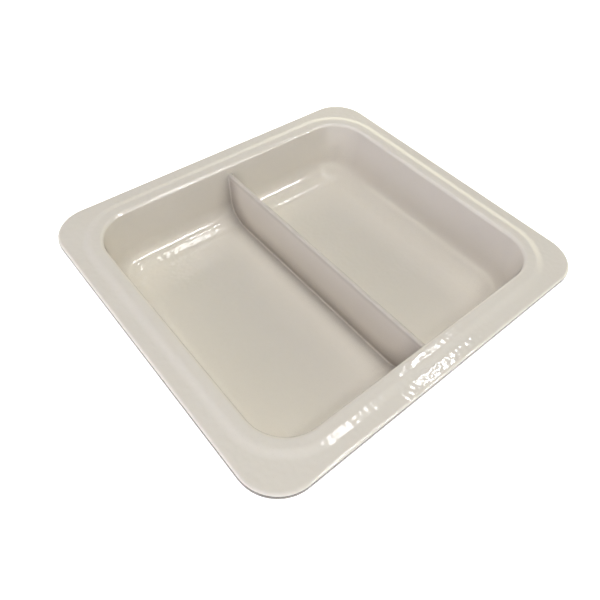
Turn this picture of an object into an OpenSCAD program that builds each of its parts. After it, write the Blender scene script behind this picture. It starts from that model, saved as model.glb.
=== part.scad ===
// Two-compartment counting tray: a rimmed, drafted shell with a bonded divider.
// The tray stands on z = 0, centred on the z axis. The divider runs along y.

/* [Tray] */
// Width across the rim, along x
tray_w = 254; // [190:1:330]
// Depth across the rim, along y
tray_d = 230; // [170:1:300]
// Height from the table to the crest of the rim
tray_h = 47; // [38:0.5:70]
// Corner radius of the rim, seen from above
rim_corner_r = 24; // [14:0.5:34]
// Wall thickness of the basin
wall_t = 3.2; // [2:0.1:5]
// Floor thickness of the basin
floor_t = 3.2; // [2:0.1:5]
// Lean of the basin walls from upright, in degrees
draft = 6; // [2:0.5:9]

/* [Rim] */
// Width of the rim, from its outer edge to the opening
rim_w = 20; // [17:0.5:30]
// Thickness of the rim at its outer edge
rim_t = 4; // [3:0.1:6]
// Rounding of the rim's upper outer edge
edge_r = 2; // [0.8:0.1:2.4]
// Rounding of the rim's lower outer edge
edge_low_r = 0.5; // [0.3:0.1:0.5]
// Height of the raised band round the opening, above the outer rim
band_h = 1; // [0.5:0.1:2]
// Width of the raised band, from the opening to the step line
band_w = 10.5; // [8:0.5:12]
// Width of the band's sloping side
band_slope_w = 4.5; // [3:0.1:5]

/* [Basin] */
// Corner radius of the opening, seen from above
opening_r = 25; // [24:0.5:40]
// Rounding where the wall turns over into the rim
shoulder_r = 2.5; // [1:0.1:3]
// Radius between the walls and the floor
floor_r = 17.5; // [6:0.5:20]
// Radius under the rim, where it meets the basin wall
under_r = 4; // [1:0.5:6]

/* [Divider] */
// Thickness of the divider plate
divider_t = 3; // [2:0.1:5]
// How far the divider's top edge lies below the crest of the rim
divider_drop = 6.5; // [3:0.5:15]
// Radius of the coves along the divider's foot
foot_r = 3; // [1:0.5:12]
// Radius of the coves at the divider's ends
end_r = 3; // [1:0.5:8]
// Thickness of the coves at their thin edges
feather_t = 0.1; // [0.05:0.05:0.3]

/* [Hidden] */
$fn = 96;

cream = [0.83, 0.81, 0.76];
divider_cream = [0.86, 0.84, 0.80];
// Overrun of cutting shapes past the faces they cut
over = 1;
// Half sizes of the rectangle that joins the opening's corner centres
open_cx = tray_w / 2 - rim_w - opening_r;
open_cy = tray_d / 2 - rim_w - opening_r;
// Half sizes of the rectangle that joins the rim's corner centres
rim_cx = tray_w / 2 - rim_corner_r;
rim_cy = tray_d / 2 - rim_corner_r;
// Heights of the outer rim's upper and lower faces
rim_top = tray_h - band_h;
rim_low = rim_top - rim_t;
// The round between wall and floor, limited by the room that the walls leave it in the corners
floor_corner_r = opening_r - (tray_h - floor_t) * tan(draft);
basin_fillet = min(floor_r, floor_corner_r / (1 / cos(draft) - tan(draft)));
divider_top = tray_h - divider_drop;
// The foot's coves stay lower than the divider plate
cove_r = min(foot_r, (divider_top - floor_t) * 0.8);

// Distance from the corner centre to the basin wall at height z; top_r is its value at the crest
function wall_at(z, top_r) = top_r - (tray_h - z) * tan(draft);

// Fills a rounded rectangle with a profile. The profile gives the distance out from the corner
// centres and the height, and it reaches the corner centres between the heights low and high.
module fill_round(cx, cy, low, high) {
    for (x = [-cx, cx], y = [-cy, cy])
        translate([x, y, 0]) rotate_extrude() children();
    for (side = [0, 1]) {
        mirror([side, 0, 0]) translate([cx, 0, 0]) rotate([90, 0, 0])
            linear_extrude(2 * cy, center = true) children();
        mirror([0, side, 0]) translate([0, cy, 0]) rotate([90, 0, 90])
            linear_extrude(2 * cx, center = true) children();
    }
    translate([-cx, -cy, low]) cube([2 * cx, 2 * cy, high - low]);
}

// Profile of a pan with leaning walls and a round between wall and floor
module pan_profile(top_r, bottom, fillet, high) {
    round_z = bottom + fillet;
    round_r = wall_at(round_z, top_r) - fillet / cos(draft);
    polygon([
        [0, bottom],
        [round_r, bottom],
        [round_r + fillet * cos(draft), round_z - fillet * sin(draft)],
        [wall_at(high, top_r), high],
        [0, high]
    ]);
    translate([round_r, bottom]) intersection() {
        translate([0, fillet]) circle(fillet);
        square(fillet);
    }
}

// Profile of the empty space in the basin, with the wall turning over into the rim
module basin_space_profile() {
    turn_z = tray_h - shoulder_r;
    turn_r = wall_at(turn_z, opening_r) + shoulder_r / cos(draft);
    turn_start = turn_z + shoulder_r * sin(draft);
    pan_profile(opening_r, floor_t, basin_fillet, tray_h + over);
    difference() {
        translate([0, turn_start]) square([turn_r, tray_h + over - turn_start]);
        translate([turn_r, turn_z]) circle(shoulder_r);
    }
}

module basin_space() {
    fill_round(open_cx, open_cy, floor_t, tray_h + over) basin_space_profile();
}

// Outside of the basin, with the round that carries it into the rim's underside
module basin_body_profile() {
    top_r = opening_r + wall_t / cos(draft);
    cove_z = rim_low - under_r;
    cove_x = wall_at(cove_z, top_r) + under_r / cos(draft);
    cove_start = cove_z - under_r * sin(draft);
    pan_profile(top_r, 0, basin_fillet + wall_t, rim_top);
    difference() {
        translate([0, cove_start]) square([cove_x, rim_low + over - cove_start]);
        translate([cove_x, cove_z]) circle(under_r);
        translate([cove_x - over, cove_start - over]) square([under_r + over, over]);
    }
}

// Flat outer rim with rounded edges
module rim_profile() {
    difference() {
        translate([0, rim_low]) square([rim_corner_r, rim_t]);
        translate([rim_corner_r - edge_r, rim_top - edge_r]) difference() {
            square(edge_r + over);
            circle(edge_r);
        }
        translate([rim_corner_r - edge_low_r, rim_low + edge_low_r]) mirror([0, 1]) difference() {
            square(edge_low_r + over);
            circle(edge_low_r);
        }
    }
}

// Raised band round the opening: level at the crest, then falling in an arc to the step line
module band_profile() {
    crest_r = opening_r + band_w - band_slope_w;
    dome_r = (band_slope_w ^ 2 + band_h ^ 2) / (2 * band_h);
    translate([0, rim_low]) square([crest_r, tray_h - rim_low]);
    intersection() {
        translate([crest_r, tray_h - dome_r]) circle(dome_r);
        translate([crest_r, rim_top - over]) square([band_slope_w + over, band_h + over]);
    }
}

// The moulding: rim, walls and floor
module tray_shell() {
    color(cream) difference() {
        union() {
            fill_round(rim_cx, rim_cy, rim_low, rim_top) rim_profile();
            fill_round(open_cx, open_cy, rim_low, tray_h) band_profile();
            fill_round(open_cx, open_cy, 0, rim_top) basin_body_profile();
        }
        basin_space();
    }
}

// Upright section of the plate, its rounded top edge and the coves along its foot
module divider_section() {
    half_t = divider_t / 2;
    foot_w = half_t + cove_r;
    translate([-half_t, floor_t]) square([divider_t, divider_top - half_t - floor_t]);
    translate([0, divider_top - half_t]) circle(half_t);
    for (side = [0, 1]) mirror([side, 0]) difference() {
        translate([0, floor_t]) square([foot_w, cove_r + feather_t]);
        translate([foot_w, floor_t + feather_t + cove_r]) circle(cove_r);
    }
}

// One cove in the corner between the plate's face and the leaning end wall
module end_cove() {
    wall_y = open_cy + wall_at(0, opening_r);
    translate([divider_t / 2, wall_y, 0]) rotate([-draft, 0, 0]) difference() {
        translate([-divider_t / 4, -end_r - feather_t, 0])
            cube([end_r + feather_t + divider_t / 4, end_r + feather_t + over, 2 * tray_h]);
        translate([end_r + feather_t, -end_r - feather_t, -over]) cylinder(r = end_r, h = 3 * tray_h);
    }
}

// The partition between the two compartments, trimmed to the basin it stands in
module divider() {
    color(divider_cream) intersection() {
        union() {
            rotate([90, 0, 0]) linear_extrude(tray_d, center = true) divider_section();
            intersection() {
                for (x = [0, 1], y = [0, 1]) mirror([x, 0, 0]) mirror([0, y, 0]) end_cove();
                translate([-tray_w / 2, -tray_d / 2, 0])
                    cube([tray_w, tray_d, divider_top - divider_t / 2]);
            }
        }
        basin_space();
    }
}

tray_shell();
divider();
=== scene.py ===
"""Looks of the two-compartment counting tray, round its fixed CAD frame.

The moulded shell and its divider are rebuilt as fine closed meshes inside the CAD box, with the ripple,
gloss and handling marks of a moulded cream plastic, and shade painted into its colour in creases, under
the lip and on the divider's top. Lengths in the shape code are millimetres.
"""
import math

import bpy
from mathutils import Matrix, Vector


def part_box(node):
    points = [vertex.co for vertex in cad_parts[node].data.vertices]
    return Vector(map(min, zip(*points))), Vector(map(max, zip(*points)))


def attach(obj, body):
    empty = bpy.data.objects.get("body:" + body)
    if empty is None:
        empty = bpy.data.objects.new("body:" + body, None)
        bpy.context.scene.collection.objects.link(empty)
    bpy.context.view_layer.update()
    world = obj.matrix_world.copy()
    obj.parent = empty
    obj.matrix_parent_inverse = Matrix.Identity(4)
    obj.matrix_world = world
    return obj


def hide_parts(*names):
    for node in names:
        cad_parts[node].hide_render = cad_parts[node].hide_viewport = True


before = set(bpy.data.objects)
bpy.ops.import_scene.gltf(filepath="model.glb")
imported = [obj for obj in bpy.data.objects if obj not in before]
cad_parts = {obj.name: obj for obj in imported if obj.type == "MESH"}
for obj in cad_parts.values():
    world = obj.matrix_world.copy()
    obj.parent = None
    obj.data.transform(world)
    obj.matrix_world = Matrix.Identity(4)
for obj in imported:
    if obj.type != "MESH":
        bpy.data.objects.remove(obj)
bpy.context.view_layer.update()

MM = 0.001

# ---------------------------------------------------------------- sizes, in mm

CAD_HIGH = Vector(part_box("tray_shell")[1]) / MM
HALF_X, HALF_Y = CAD_HIGH.x, CAD_HIGH.y
TRAY_H = CAD_HIGH.z
DIVIDER_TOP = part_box("divider")[1].z / MM

RIM_W = 20
RIM_CORNER_R = 24
RIM_T = 4
EDGE_R = 2
EDGE_LOW_R = 0.5
BAND_H = 1
BAND_W = 10.5
BAND_SLOPE_W = 4.5
# Width of the soft slope from the band's crest down to the rim's land
SLOPE_RUN = 6.5
OPENING_R = 25
SHOULDER_R = 2.5
FLOOR_R = 17.5
FLOOR_T = 3.2
WALL_T = 3.2
UNDER_R = 4
DRAFT = math.radians(6)
DIVIDER_T = 3
# Radii at the foot and ends of the divider: a tight crease, where the material paints shade into the colour
FOOT_R = 1.2
END_R = 1.2
# Rows of the section, counted back from the rim's lower face, painted dark grey as shade under the lip
SHADED_LIP_ROWS = 12

RIM_TOP = TRAY_H - BAND_H
RIM_LOW = RIM_TOP - RIM_T
# Corner centres of the opening's loops and of the rim's loops
OPEN_C = (HALF_X - RIM_W - OPENING_R, HALF_Y - RIM_W - OPENING_R)
RIM_C = (HALF_X - RIM_CORNER_R, HALF_Y - RIM_CORNER_R)

# ---------------------------------------------------------------- small tools


def linear(hex_colour):
    """An sRGB hex colour as the linear RGBA that Blender's sockets take."""
    channels = [int(hex_colour[i:i + 2], 16) / 255 for i in (0, 2, 4)]
    return [c / 12.92 if c <= 0.04045 else ((c + 0.055) / 1.055) ** 2.4 for c in channels] + [1.0]


def arc(cx, cz, radius, start, end, steps):
    """Points of an arc in the section plane, from angle start to angle end in degrees."""
    turns = [math.radians(start + (end - start) * i / steps) for i in range(steps + 1)]
    return [(cx + radius * math.cos(a), cz + radius * math.sin(a)) for a in turns]


def wall_at(z, top_r):
    """Distance from the corner centre to a basin wall at height z; top_r is its value at the crest."""
    return top_r - (TRAY_H - z) * math.tan(DRAFT)


def new_object(name, vertices, faces, sharp_edges=()):
    """A smooth-shaded mesh object from millimetre points, with the given edges kept crisp."""
    mesh = bpy.data.meshes.new(name)
    mesh.from_pydata([(x * MM, y * MM, z * MM) for x, y, z in vertices], [], faces)
    mesh.validate()
    mesh.update()
    mesh.shade_smooth()
    crisp = {tuple(sorted(e)) for e in sharp_edges}
    for edge in mesh.edges:
        edge.use_edge_sharp = tuple(sorted(edge.vertices)) in crisp
    piece = bpy.data.objects.new(name, mesh)
    bpy.context.scene.collection.objects.link(piece)
    return piece


def bridge(first, second):
    """Quads between two closed rows of vertex numbers of the same length."""
    n = len(first)
    return [(first[i], second[i], second[(i + 1) % n], first[(i + 1) % n]) for i in range(n)]


# ---------------------------------------------------------------- the shell

CORNER_STEPS = 20
SIDE_STEPS = 30


def rounded_loop(centre, radius, z):
    """A closed loop round a rounded rectangle, anticlockwise from the +X side."""
    cx, cy = centre
    corners = [(cx, cy, 0), (-cx, cy, 90), (-cx, -cy, 180), (cx, -cy, 270)]
    points = []
    for i, (x, y, start) in enumerate(corners):
        for step in range(CORNER_STEPS + 1):
            a = math.radians(start + 90 * step / CORNER_STEPS)
            points.append((x + radius * math.cos(a), y + radius * math.sin(a), z))
        nx, ny, nstart = corners[(i + 1) % 4]
        a = math.radians(nstart)
        here, there = points[-1], (nx + radius * math.cos(a), ny + radius * math.sin(a))
        for step in range(1, SIDE_STEPS):
            t = step / SIDE_STEPS
            points.append((here[0] + (there[0] - here[0]) * t, here[1] + (there[1] - here[1]) * t, z))
    return points


def shell_section():
    """The shell's section from the floor's edge over the rim to the edge of the underside.

    Each entry is (corner centre, distance out from it, height). Short steps beside each round keep its
    shading crisp. Also gives the row of the band's lower edge, and the first and last row of the lip painted
    grey as shade."""
    lean = math.degrees(DRAFT)
    cos_d, sin_d = math.cos(DRAFT), math.sin(DRAFT)
    round_z = FLOOR_T + FLOOR_R
    round_r = wall_at(round_z, OPENING_R) - FLOOR_R / cos_d
    turn_z = TRAY_H - SHOULDER_R
    turn_r = wall_at(turn_z, OPENING_R) + SHOULDER_R / cos_d
    crest_r = OPENING_R + BAND_W - BAND_SLOPE_W
    under_z = RIM_LOW - UNDER_R
    under_r = wall_at(under_z, OPENING_R + WALL_T / cos_d) + UNDER_R / cos_d
    wall_low = arc(round_r, round_z, FLOOR_R, -90, -lean, 22)
    wall_high = arc(turn_r, turn_z, SHOULDER_R, 180 - lean, 90, 12)
    wall = [(wall_low[-1][0] + (wall_high[0][0] - wall_low[-1][0]) * t,
             wall_low[-1][1] + (wall_high[0][1] - wall_low[-1][1]) * t) for t in (0.03, 0.25, 0.5, 0.75, 0.97)]
    crest = [(turn_r + (crest_r - turn_r) * t, TRAY_H) for t in (0.1, 0.5, 0.9)]
    slope = [(crest_r + SLOPE_RUN * t, RIM_TOP + BAND_H * (1 + math.cos(math.pi * t)) / 2)
             for t in (i / 16 for i in range(17))]
    opening_side = wall_low + wall + wall_high + crest + slope
    land = [(crest_r + SLOPE_RUN + 0.3, RIM_TOP)]
    edge_x = RIM_CORNER_R - EDGE_R
    rim_side = [(edge_x - 3, RIM_TOP), (edge_x - 0.3, RIM_TOP)] + arc(edge_x, RIM_TOP - EDGE_R, EDGE_R, 90, 0, 10)
    rim_side += [(RIM_CORNER_R, RIM_LOW + EDGE_LOW_R + 0.7)]
    rim_side += arc(RIM_CORNER_R - EDGE_LOW_R, RIM_LOW + EDGE_LOW_R, EDGE_LOW_R, 0, -90, 5)
    rim_side += [(RIM_CORNER_R - EDGE_LOW_R - 0.4, RIM_LOW)]
    under = [(under_r + 0.4, RIM_LOW)] + arc(under_r, under_z, UNDER_R, 90, 180 - lean, 10)
    body = arc(round_r, round_z, FLOOR_R + WALL_T, -lean, -90, 16)
    outer_wall = [(under[-1][0] + (body[0][0] - under[-1][0]) * t,
                   under[-1][1] + (body[0][1] - under[-1][1]) * t) for t in (0.05, 0.5, 0.95)]
    section = [(OPEN_C, r, z) for r, z in opening_side + land]
    section += [(RIM_C, r, z) for r, z in rim_side]
    lip = (len(section) - SHADED_LIP_ROWS, len(section) - 1)
    section += [(OPEN_C, r, z) for r, z in under + outer_wall + body]
    return section, len(opening_side) - 1, lip


def make_shell():
    section, step_row, lip = shell_section()
    loops = [rounded_loop(*entry) for entry in section]
    # The flat floor and base shrink in steps towards a hub
    shares = [0.985, 0.9, 0.75, 0.55, 0.35, 0.15]
    floor_loops, base_loops = ([[(x * k, y * k, z) for x, y, z in edge] for k in shares]
                               for edge in (loops[0], loops[-1]))
    loops = floor_loops[::-1] + loops + base_loops
    n = len(loops[0])
    vertices = [p for loop in loops for p in loop]
    rows = [range(i * n, (i + 1) * n) for i in range(len(loops))]
    faces = [f for a, b in zip(rows, rows[1:]) for f in bridge(a, b)]
    for row, z, inward in ((rows[0], loops[0][0][2], True), (rows[-1], loops[-1][0][2], False)):
        vertices.append((0, 0, z))
        hub = len(vertices) - 1
        for i in range(n):
            a, b = row[i], row[(i + 1) % n]
            faces.append((hub, a, b) if inward else (hub, b, a))
    step = rows[len(shares) + step_row]
    sharp = [(step[i], step[(i + 1) % n]) for i in range(n)]
    made = new_object("moulded_shell", vertices, faces, sharp)
    # The lip's rows take the second material, its painted shade
    for face in made.data.polygons[(len(shares) + lip[0]) * n:(len(shares) + lip[1]) * n]:
        face.material_index = 1
    return made


# ---------------------------------------------------------------- the divider

END_STEPS = 12
LENGTH_STEPS = 36
# How far the divider's hidden edges sit inside the shell
SINK = 0.12


def divider_outline(z, inset=0):
    """The divider's outline at height z, as the +X half from its near end to its far end.

    Its face runs straight between two narrow coves that carry it into the leaning end walls, and
    widens into the foot's cove near the floor."""
    wall_turn = FLOOR_T + FLOOR_R * (1 - math.sin(DRAFT))
    round_z = FLOOR_T + FLOOR_R
    round_r = wall_at(round_z, OPENING_R) - FLOOR_R / math.cos(DRAFT)
    foot_drop = max(0.0, FLOOR_T + FOOT_R - z)
    foot_reach = math.sqrt(max(0.0, FOOT_R ** 2 - foot_drop ** 2))
    face = DIVIDER_T / 2 + FOOT_R - foot_reach
    if z < wall_turn:
        wall_y = OPEN_C[1] + round_r + math.sqrt(max(0.0, FLOOR_R ** 2 - (round_z - z) ** 2))
    else:
        wall_y = OPEN_C[1] + wall_at(z, OPENING_R)
    cove = min(foot_reach, END_R)
    cx, cy = face + cove, wall_y - cove
    cove += inset
    half = [(cx + x, cy + y) for x, y in arc(0, 0, cove, 180, 90, END_STEPS)]
    half = [(x, min(y, wall_y + SINK)) for x, y in half]
    far = half + [(half[-1][0] + 0.6, wall_y + SINK)]
    straight = [(cx - cove, -cy + 2 * cy * i / LENGTH_STEPS) for i in range(1, LENGTH_STEPS)]
    near = [(x, -y) for x, y in far[::-1]]
    return near + straight + far


def make_divider():
    half_t = DIVIDER_T / 2
    levels = [(DIVIDER_TOP - half_t + half_t * math.sin(math.radians(a)),
               half_t * (1 - math.cos(math.radians(a)))) for a in (78, 66, 54, 42, 30, 18, 8, 0)]
    foot_z, round_z = FLOOR_T + FOOT_R, FLOOR_T + FLOOR_R
    levels += [(round_z + (DIVIDER_TOP - half_t - round_z) * t, 0) for t in (0.97, 0.75, 0.5, 0.25)]
    levels += [(foot_z + (round_z - foot_z) * i / 20, 0) for i in range(20, 0, -1)]
    levels += [(foot_z - FOOT_R * math.sin(math.radians(a)), 0) for a in range(0, 86, 5)]
    rows = [[(x, y, z) for x, y in divider_outline(z, inset)] for z, inset in levels]
    last = rows[-1]
    rows.append([(x + 0.5, y, FLOOR_T - SINK) for x, y, z in last])
    n = len(rows[0])
    vertices = []
    index = {1: [], -1: []}
    for row in rows:
        for side in (1, -1):
            index[side].append(range(len(vertices), len(vertices) + n))
            vertices += [(side * x, y, z) for x, y, z in row]
    centre = []
    for row, z in ((rows[0], DIVIDER_TOP), (rows[-1], FLOOR_T - SINK)):
        centre.append(range(len(vertices), len(vertices) + n))
        vertices += [(0, y, z) for x, y, _ in row]
    faces = []
    for side in (1, -1):
        strips = [centre[0]] + index[side] + [centre[1]]
        for upper, lower in zip(strips, strips[1:]):
            for i in range(n - 1):
                quad = (upper[i], lower[i], lower[i + 1], upper[i + 1])
                faces.append(quad if side == 1 else quad[::-1])
    # The two ends, inside the shell's walls
    for end in (0, n - 1):
        right = [centre[0][end]] + [r[end] for r in index[1]] + [centre[1][end]]
        left = [centre[0][end]] + [r[end] for r in index[-1]] + [centre[1][end]]
        for i in range(len(right) - 1):
            quad = [right[i], right[i + 1], left[i + 1], left[i]]
            face = list(dict.fromkeys(quad))
            faces.append(tuple(face if end else face[::-1]))
    return new_object("moulded_divider", vertices, faces)


# ---------------------------------------------------------------- materials


def node(tree, kind, inputs=None, **settings):
    """Adds a node. inputs maps a socket to a value, or to the output that feeds it."""
    made = tree.nodes.new(kind)
    for key, value in settings.items():
        setattr(made, key, value)
    for key, value in (inputs or {}).items():
        if isinstance(value, bpy.types.NodeSocket):
            tree.links.new(value, made.inputs[key])
        else:
            made.inputs[key].default_value = value
    return made


def new_material(name):
    made = bpy.data.materials.new(name)
    made.use_nodes = True
    made.node_tree.nodes.clear()
    return made, made.node_tree


def cream_plastic(name, base, cloud, wear_and_shade_low, wear_and_shade_high, top_shade_tint=0.0):
    """Glossy moulded cream plastic: a cloudy tint, slow moulding ripple, fine peel, handling marks and painted shade
    in creases.

    The rubbed, rougher marks grow from height wear_and_shade_low to wear_and_shade_high; over the same heights the
    colour is darkened by up to top_shade_tint, as painted shade towards the top."""
    made, tree = new_material(name)
    place = node(tree, "ShaderNodeTexCoord").outputs["Object"]
    # Cloudy colour from the filler in the moulding, in patches of about 40 mm
    clouds = node(tree, "ShaderNodeTexNoise", {"Vector": place, "Scale": 25, "Detail": 3, "Roughness": 0.55})
    tint = node(tree, "ShaderNodeMix", {"Factor": clouds.outputs["Fac"], "A": linear(base), "B": linear(cloud)},
                data_type="RGBA")
    # Faint specks, under a millimetre
    specks = node(tree, "ShaderNodeTexNoise", {"Vector": place, "Scale": 1500, "Detail": 1})
    speck_mask = node(tree, "ShaderNodeMapRange",
                      {"Value": specks.outputs["Fac"], "From Min": 0.66, "From Max": 0.76, "To Max": 0.12})
    colour = node(tree, "ShaderNodeMix",
                  {"Factor": speck_mask.outputs["Result"], "A": tint.outputs["Result"], "B": linear("A79C8A")},
                  data_type="RGBA")
    # Painted shade: the colour darkens towards grey-brown where the surface is enclosed, in tight creases and corners
    # such as the divider's foot
    open_share = node(tree, "ShaderNodeAmbientOcclusion", {"Distance": 20 * MM}, samples=8)
    painted_crease_shade = node(tree, "ShaderNodeMapRange",
                  {"Value": open_share.outputs["AO"], "From Min": 0.42, "From Max": 0.84,
                   "To Min": 0.65, "To Max": 0})
    colour = node(tree, "ShaderNodeMix",
                  {"Factor": painted_crease_shade.outputs["Result"], "A": colour.outputs["Result"], "B": linear("756B6A")},
                  data_type="RGBA")
    # Duller where hands and spatulas rub: patches of about 12 mm, strongest near the crest
    height = node(tree, "ShaderNodeSeparateXYZ", {"Vector": place})
    crest = node(tree, "ShaderNodeMapRange",
                 {"Value": height.outputs["Z"], "From Min": wear_and_shade_low * MM, "From Max": wear_and_shade_high * MM})
    rubs = node(tree, "ShaderNodeTexNoise", {"Vector": place, "Scale": 80, "Detail": 4})
    rubbed = node(tree, "ShaderNodeMath", {0: rubs.outputs["Fac"], 1: crest.outputs["Result"]}, operation="MULTIPLY")
    # Painted shade: the colour darkens towards the top by up to top_shade_tint
    painted_top_shade = node(tree, "ShaderNodeMath", {0: crest.outputs["Result"], 1: top_shade_tint}, operation="MULTIPLY")
    colour = node(tree, "ShaderNodeMix",
                  {"Factor": painted_top_shade.outputs["Value"], "A": colour.outputs["Result"], "B": linear("A39A90")},
                  data_type="RGBA")
    gloss = node(tree, "ShaderNodeMapRange", {"Value": rubbed.outputs["Value"], "To Min": 0.04, "To Max": 0.12})
    # The creases that take the painted shade are also made rougher
    dulled = node(tree, "ShaderNodeMath",
                  {0: painted_crease_shade.outputs["Result"], 1: 0.7, 2: gloss.outputs["Result"]}, operation="MULTIPLY_ADD")
    # Moulding ripple of about 14 mm, a peel of about 3 mm and hair scratches
    ripple = node(tree, "ShaderNodeTexNoise", {"Vector": place, "Scale": 70, "Detail": 1})
    peel = node(tree, "ShaderNodeTexNoise", {"Vector": place, "Scale": 330, "Detail": 0})
    # The peel is strong on the floor and on the rim's land, and faint up the walls and round the crest
    floor_peel = node(tree, "ShaderNodeMapRange",
                      {"Value": height.outputs["Z"], "From Min": 6 * MM, "From Max": 9 * MM,
                       "To Min": 1, "To Max": 0.03})
    rim_peel = node(tree, "ShaderNodeMapRange",
                    {"Value": height.outputs["Z"], "From Min": 45 * MM, "From Max": 46 * MM})
    peel_share = node(tree, "ShaderNodeMath",
                      {0: floor_peel.outputs["Result"], 1: rim_peel.outputs["Result"]}, operation="MAXIMUM")
    stretched = node(tree, "ShaderNodeMapping", {"Vector": place, "Rotation": (0, 0, 0.6), "Scale": (1, 30, 1)})
    scratches = node(tree, "ShaderNodeTexNoise", {"Vector": stretched.outputs["Vector"], "Scale": 110, "Detail": 3})
    scratch_mask = node(tree, "ShaderNodeMapRange",
                        {"Value": scratches.outputs["Fac"], "From Min": 0.68, "From Max": 0.74})
    wave = node(tree, "ShaderNodeBump", {"Height": ripple.outputs["Fac"], "Strength": 1.0, "Distance": 0.00006})
    skin = node(tree, "ShaderNodeBump",
                {"Height": peel.outputs["Fac"], "Strength": peel_share.outputs["Value"], "Distance": 0.00013,
                 "Normal": wave.outputs["Normal"]})
    relief = node(tree, "ShaderNodeBump",
                  {"Height": scratch_mask.outputs["Result"], "Strength": 1.0, "Distance": 0.000002,
                   "Normal": skin.outputs["Normal"]}, invert=True)
    shader = node(tree, "ShaderNodeBsdfPrincipled",
                  {"Base Color": colour.outputs["Result"], "Roughness": dulled.outputs["Value"], "IOR": 1.52,
                   "Subsurface Weight": 0.08, "Subsurface Radius": (1.0, 0.8, 0.55), "Subsurface Scale": 0.0012,
                   "Normal": relief.outputs["Normal"]})
    node(tree, "ShaderNodeOutputMaterial", {"Surface": shader.outputs["BSDF"]})
    return made


def matt_floor():
    """Plain pale paper: a slight tone and grain, so it isn't a flat colour."""
    made, tree = new_material("white_paper")
    place = node(tree, "ShaderNodeTexCoord").outputs["Object"]
    grain = node(tree, "ShaderNodeTexNoise", {"Vector": place, "Scale": 900, "Detail": 3})
    tone = node(tree, "ShaderNodeMix",
                {"Factor": grain.outputs["Fac"], "A": linear("FAFAFA"), "B": linear("FFFFFF")}, data_type="RGBA")
    shader = node(tree, "ShaderNodeBsdfPrincipled",
                  {"Base Color": tone.outputs["Result"], "Roughness": 0.9, "Specular IOR Level": 0.1,
                   "Emission Color": linear("FFFFFF"), "Emission Strength": 0.6})
    node(tree, "ShaderNodeOutputMaterial", {"Surface": shader.outputs["BSDF"]})
    return made


# ---------------------------------------------------------------- the pieces

shell = make_shell()
divider = make_divider()
# The shell's second finish is its lip's lower edge, painted dark grey as shade under the rim
shell.data.materials.append(cream_plastic("gloss_cream_moulding", "DED7CC", "DAD3C7", 43, 47))
shell.data.materials.append(cream_plastic("lip_painted_shade", "5A534B", "665E55", 30, 43))
# The divider's upper part is darkened as painted shade on its top
divider.data.materials.append(cream_plastic("gloss_cream_divider", "DED7CC", "DAD3C7", 36, 41, 0.5))
for piece, cad_node, slot in ((shell, "tray_shell", "shell_plastic"), (divider, "divider", "divider_plastic")):
    soften = piece.modifiers.new("weighted_normals", "WEIGHTED_NORMAL")
    soften.keep_sharp = True
    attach(piece, "root")
    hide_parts(cad_node)

# ---------------------------------------------------------------- floor, light and camera

# Watts of an area light per square metre and unit of strength
AREA_LIGHT_SHARE = 4
# Height of the ceiling with its lamps, radius of the ring of fills and side of each fill, in metres
CEILING_H = 1.5
RING_R = 2.2
FILL_SIDE = 0.9


def panel(name, place, size, radiance, colour, level=False):
    """A rectangular light at a point in metres, as bright as its radiance says.

    It faces the tray, or lies level with its sides along X and Y."""
    light = bpy.data.lights.new(name, "AREA")
    light.shape = "RECTANGLE"
    light.size, light.size_y = size
    light.energy = radiance * size[0] * size[1] * AREA_LIGHT_SHARE
    light.color = linear(colour)[:3]
    made = bpy.data.objects.new(name, light)
    made.location = place
    towards = Vector(place) - Vector((0, 0, RIM_TOP * MM))
    if not level:
        made.rotation_euler = towards.to_track_quat("Z", "Y").to_euler()
    bpy.context.scene.collection.objects.link(made)
    return made


def make_floor():
    """A wide sheet of paper under the tray, with its far edge rolled up out of sight."""
    half, middle, roll_r, steps = 3000, 600, 800, 12
    rows = [(-half, 0), (-middle, 0), (middle, 0)] + arc(half, roll_r, roll_r, -90, 0, steps)
    vertices = [(x, y, z) for y, z in rows for x in (-half, 0, half)]
    faces = [(3 * i + j, 3 * i + j + 1, 3 * i + j + 4, 3 * i + j + 3) for i in range(len(rows) - 1) for j in (0, 1)]
    made = new_object("paper_floor", vertices, faces)
    made.data.materials.append(matt_floor())


make_floor()
# Lamps on the ceiling, which only show as the glints and thin lines in the gloss
for name, place, size, radiance in (
        ("ceiling_right", (0.97, 0.27), (0.17, 0.09), 22), ("ceiling_over", (0.5, -0.42), (0.16, 0.7), 9),
        ("ceiling_back", (0.71, -1.05), (0.24, 0.06), 50), ("strip_back", (1.38, -2.15), (1.72, 0.08), 150)):
    panel(name, (*place, CEILING_H), size, radiance, "FFFFFF", level=True).visible_diffuse = False
# Broad soft fills on a dome, by bearing and rise in degrees: they light the tray without showing in its gloss
for name, az, el, radiance, colour in (
        ("fill_left", 270, 12, 6.8, "E6EAFF"), ("fill_left_high", 270, 32, 1.3, "FFF2F9"),
        ("fill_near", 180, 12, 4.5, "F9FBFF"), ("fill_right", 90, 12, 0.3, "FFD0A0"),
        ("fill_right_high", 90, 32, 2.5, "FFFDE2"), ("fill_far_high", 0, 32, 1.7, "FFF7F6"),
        ("over_near", 180, 72, 4.4, "F7FBFF"), ("over_middle", 0, 90, 5.7, "FDFFFF")):
    turn, rise = math.radians(az), math.radians(el)
    place = [RING_R * math.sin(turn) * math.cos(rise), RING_R * math.cos(turn) * math.cos(rise),
             RING_R * math.sin(rise) + TRAY_H * MM]
    panel(name, place, (FILL_SIDE, FILL_SIDE), radiance, colour).visible_glossy = False


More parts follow.
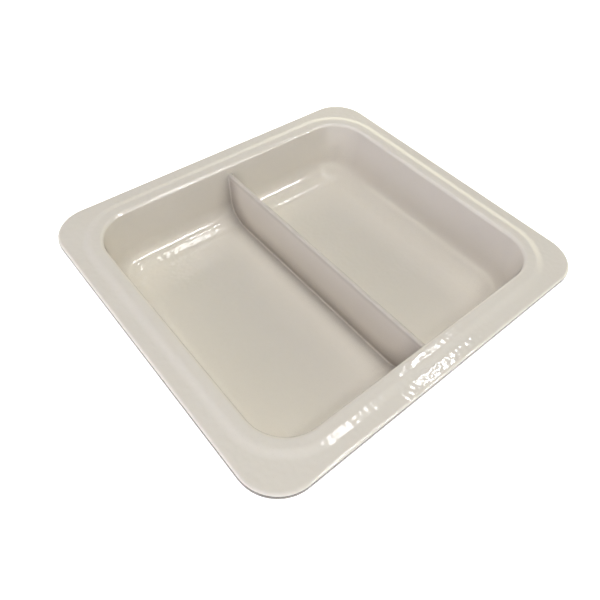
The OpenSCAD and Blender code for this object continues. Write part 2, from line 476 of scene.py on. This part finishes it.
def soft_room():
    """The room that the gloss reflects, left out of the soft light: bright low down, with two dim patches."""
    world = bpy.data.worlds.new("soft_room")
    bpy.context.scene.world = world
    world.use_nodes = True
    world.cycles_visibility.diffuse = False
    tree = world.node_tree
    tree.nodes.clear()
    towards = node(tree, "ShaderNodeTexCoord").outputs["Generated"]
    height = node(tree, "ShaderNodeSeparateXYZ", {"Vector": towards})
    strength = node(tree, "ShaderNodeMapRange",
                    {"Value": height.outputs["Z"], "From Min": 0.47, "From Max": 0.55, "To Min": 2.2, "To Max": 0.73},
                    interpolation_type="SMOOTHSTEP").outputs["Result"]
    # Dim patches: the bearing and rise of the middle in degrees, and the cosine where it starts
    for bearing, climb, edge in ((72, 48, 0.86), (10, 40, 0.8)):
        turn, rise = math.radians(bearing), math.radians(climb)
        middle = (math.sin(turn) * math.cos(rise), math.cos(turn) * math.cos(rise), math.sin(rise))
        near = node(tree, "ShaderNodeVectorMath", {0: towards, 1: middle}, operation="DOT_PRODUCT")
        dim = node(tree, "ShaderNodeMapRange",
                   {"Value": near.outputs["Value"], "From Min": edge, "To Min": 1, "To Max": 0.2},
                   interpolation_type="SMOOTHSTEP")
        strength = node(tree, "ShaderNodeMath", {0: strength, 1: dim.outputs["Result"]},
                        operation="MULTIPLY").outputs["Value"]
    sky = node(tree, "ShaderNodeBackground", {"Color": linear("FFFBE4"), "Strength": strength})
    node(tree, "ShaderNodeOutputWorld", {"Surface": sky.outputs["Background"]})


soft_room()


def make_camera(place, right, up, lens):
    """The camera at a point in mm, with its own right and up directions."""
    data = bpy.data.cameras.new("camera")
    data.lens = lens
    data.sensor_width = 36
    made = bpy.data.objects.new("camera", data)
    right = Vector(right).normalized()
    back = right.cross(Vector(up)).normalized()
    up = back.cross(right)
    turn = Matrix((right, up, back)).transposed()
    made.matrix_world = Matrix.Translation(Vector(place) * MM) @ turn.to_4x4()
    bpy.context.scene.collection.objects.link(made)
    bpy.context.scene.camera = made


make_camera((-175.3, -172.4, 243.5 + RIM_TOP), (0.7667, -0.6396, 0.0561), (0.4701, 0.6187, 0.6294), 32.65)
bpy.context.scene.view_settings.view_transform = "Standard"
